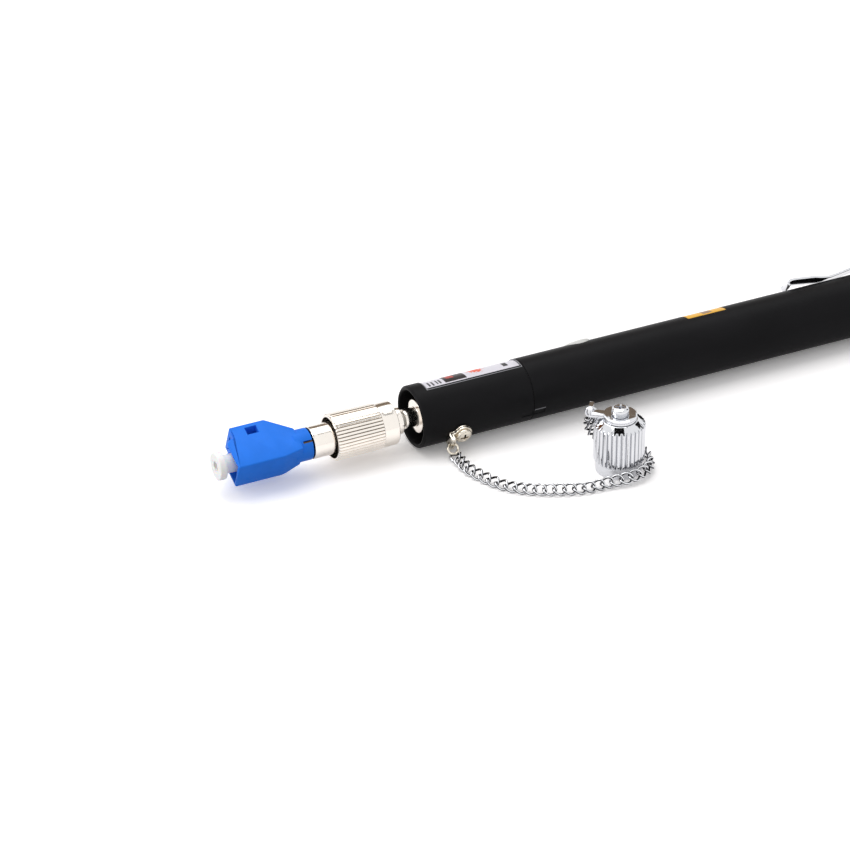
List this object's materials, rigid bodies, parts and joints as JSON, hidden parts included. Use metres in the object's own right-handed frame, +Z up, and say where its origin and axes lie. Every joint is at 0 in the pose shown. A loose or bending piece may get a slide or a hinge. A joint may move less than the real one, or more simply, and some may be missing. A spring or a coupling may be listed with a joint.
{
  "type": "visual fault locator",
  "caption": "Pen-shaped fibre fault locator with a clip, a push button, a chained screw cap and a screwed-on adapter that ends in a plugged square port.",
  "frame": {"origin": "middle of the footprint, on the surface the tool lies on", "axes": "+X along the pen towards its tail, +Z up off the surface"},
  "size_m": [0.1994, 0.0424, 0.0153],
  "materials": {
    "black_anodised": "satin",
    "label_white": "satin",
    "label_yellow": "satin",
    "key_black": "satin",
    "nickel": "satin",
    "chrome": "polished",
    "gilt_chrome": "polished",
    "button": "satin",
    "blue_plastic": "gloss",
    "white_plastic": "satin",
    "ceramic_white": "gloss",
    "glass": "gloss",
    "steel": "satin",
    "board_green": "satin",
    "cell_jacket": "gloss",
    "seal_rubber": "matte",
    "gilt": "satin"
  },
  "bodies": {
    "pen": {"front_sleeve": "black_anodised", "main_barrel": "black_anodised", "index_key": "key_black", "sleeve_label": "label_white", "barrel_label": "label_yellow", "port_body": "nickel", "split_sleeve": "ceramic_white", "laser_housing": "nickel", "focus_lens": "glass", "laser_diode": "gilt", "driver_board": "board_green", "tact_switch": "key_black", "battery_contact": "steel", "battery_front": "cell_jacket", "battery_rear": "cell_jacket", "pocket_clip": "chrome", "lug_screw": "gilt_chrome", "lug_strap": "gilt_chrome", "lug_ring": "gilt_chrome", "chain": "chrome", "cap_ring": "gilt_chrome", "cap_strap": "gilt_chrome"},
    "button": {"push_button": "button"},
    "adapter": {"adapter_barrel": "nickel", "ferrule": "ceramic_white", "lc_housing": "blue_plastic", "lc_sleeve": "ceramic_white"},
    "nut_carrier": {"nut_ring": "nickel"},
    "nut": {"coupling_nut": "nickel"},
    "plug": {"dust_plug": "white_plastic"},
    "cap": {"dust_cap": "chrome", "cap_screw": "chrome"},
    "tail_carriage": {"spring_seat": "steel", "battery_spring": "steel"},
    "tail": {"tail_cap": "black_anodised", "tail_seal": "seal_rubber"}
  },
  "joints": [
    {"name": "button_press", "type": "slide", "parent": "pen", "child": "button", "axis": [0, -0.7193, -0.6947], "range_m": [0, 0.0006], "stiffness_N_per_m": 400},
    {"name": "adapter_pull", "type": "slide", "parent": "pen", "child": "adapter", "axis": [-1, 0, 0], "range_m": [0, 0.01]},
    {"name": "nut_slide", "type": "slide", "parent": "adapter", "child": "nut_carrier", "axis": [-1, 0, 0], "range_m": [0, 0.004]},
    {"name": "nut_spin", "type": "hinge", "parent": "nut_carrier", "child": "nut", "pos_m": [-0.06705, 0.01226, 0.0065], "axis": [1, 0, 0], "continuous": true},
    {"name": "plug_pull", "type": "slide", "parent": "adapter", "child": "plug", "axis": [-1, 0, 0], "range_m": [0, 0.008]},
    {"name": "cap_spin", "type": "hinge", "parent": "pen", "child": "cap", "pos_m": [-0.02295, -0.01374, 0], "axis": [0, 0, 1], "continuous": true},
    {"name": "tail_slide", "type": "slide", "parent": "pen", "child": "tail_carriage", "axis": [1, 0, 0], "range_m": [0, 0.007]},
    {"name": "tail_turn", "type": "hinge", "parent": "tail_carriage", "child": "tail", "pos_m": [0.09165, 0.01226, 0.0065], "axis": [1, 0, 0], "range_deg": [0, 2520]}
  ],
  "couplings": [
    {"joint": "tail_slide", "follows": "tail_turn", "m_per_rad": 0.00015915}
  ]
}
